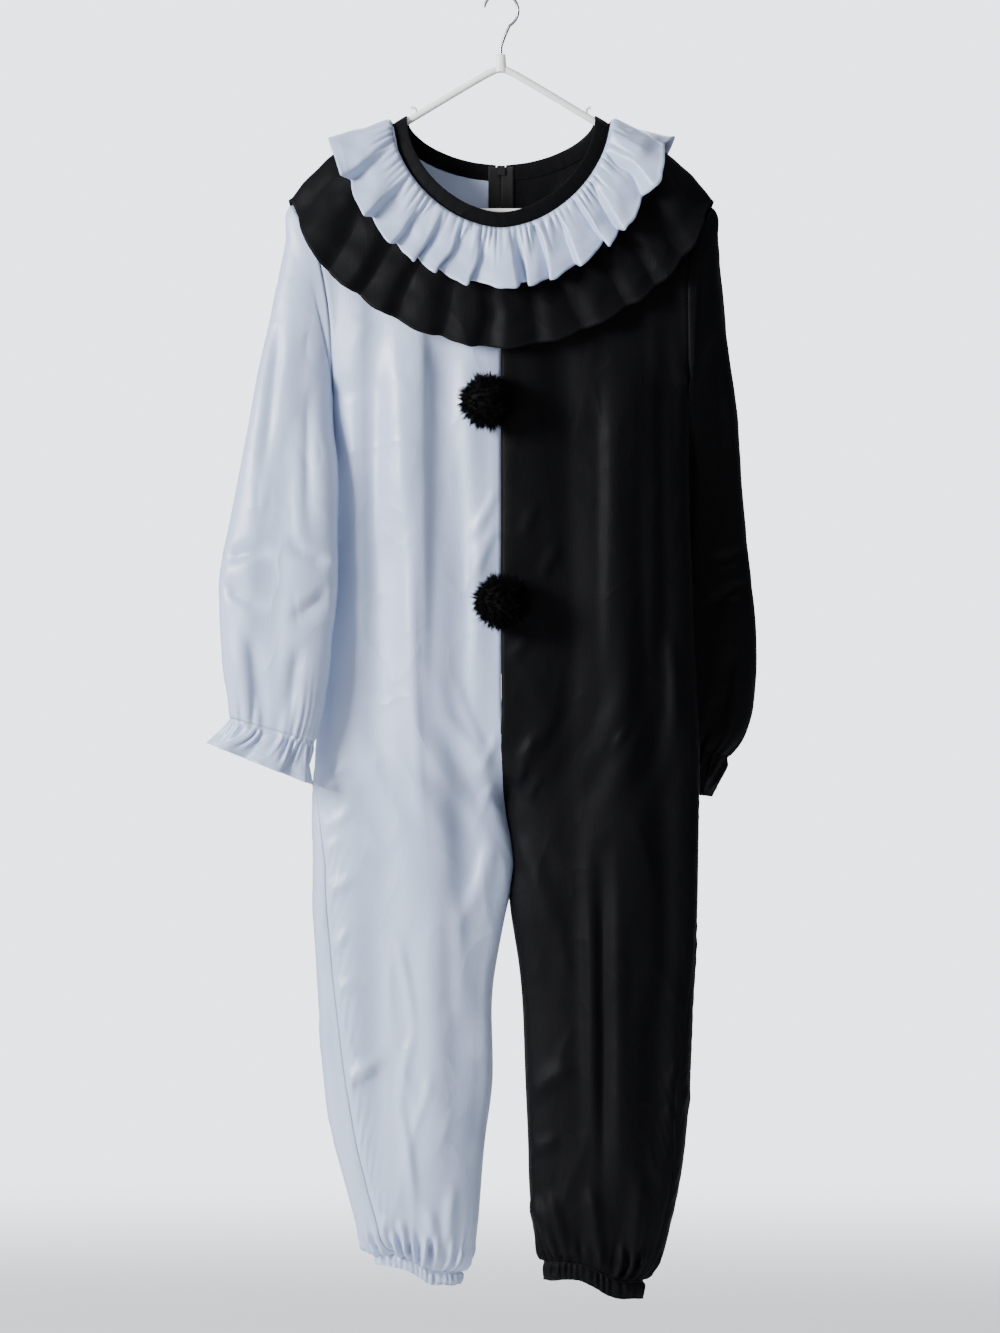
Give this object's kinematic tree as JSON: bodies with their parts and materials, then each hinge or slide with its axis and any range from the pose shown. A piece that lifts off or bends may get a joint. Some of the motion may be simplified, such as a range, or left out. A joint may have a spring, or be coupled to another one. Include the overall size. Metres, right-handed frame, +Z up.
{
  "type": "clown jumpsuit",
  "caption": "Clown jumpsuit, half white and half black, with a double ruffled collar, fur pompoms, frilled cuffs, gathered ankles and a back zip, hanging open on a plastic hanger.",
  "frame": {"origin": "Top of the space inside the hanger's hook, where a rail holds the hanger. The garment hangs below it.", "axes": "+Z up, the garment's front faces -Y, +X is the viewer's right as one looks at the front."},
  "size_m": [0.6924, 0.2249, 1.653],
  "materials": {
    "white_satin": "white polyester satin with a soft sheen",
    "black_satin": "black polyester satin with a soft sheen",
    "black_fur": "matt black long-pile fur",
    "zip_tape": "matt black woven tape",
    "zip_metal": "black enamelled die-cast metal",
    "hanger_plastic": "white moulded plastic",
    "hanger_wire": "plated steel wire"
  },
  "bodies": {
    "garment": {"front_left": "white_satin", "front_right": "black_satin", "back_left": "white_satin", "back_right": "black_satin", "sleeve_left": "white_satin", "sleeve_right": "black_satin", "cuff_left": "white_satin", "cuff_right": "black_satin", "ankle_left": "white_satin", "ankle_right": "black_satin", "neck_binding": "black_satin", "ruffle_upper": "white_satin", "ruffle_lower": "black_satin", "pompom_upper": "black_fur", "pompom_lower": "black_fur", "zip_tape_left": "zip_tape", "zip_tape_right": "zip_tape", "zip_slider": "zip_metal", "hanger_frame": "hanger_plastic", "hanger_hook": "hanger_wire"},
    "pull_tab": {"zip_pull": "zip_metal"}
  },
  "joints": [
    {"name": "pull_swing", "type": "hinge", "parent": "garment", "child": "pull_tab", "pos_m": [0, 0.0362, -0.2195], "axis": [1, 0, 0], "range_deg": [0, 150]}
  ]
}
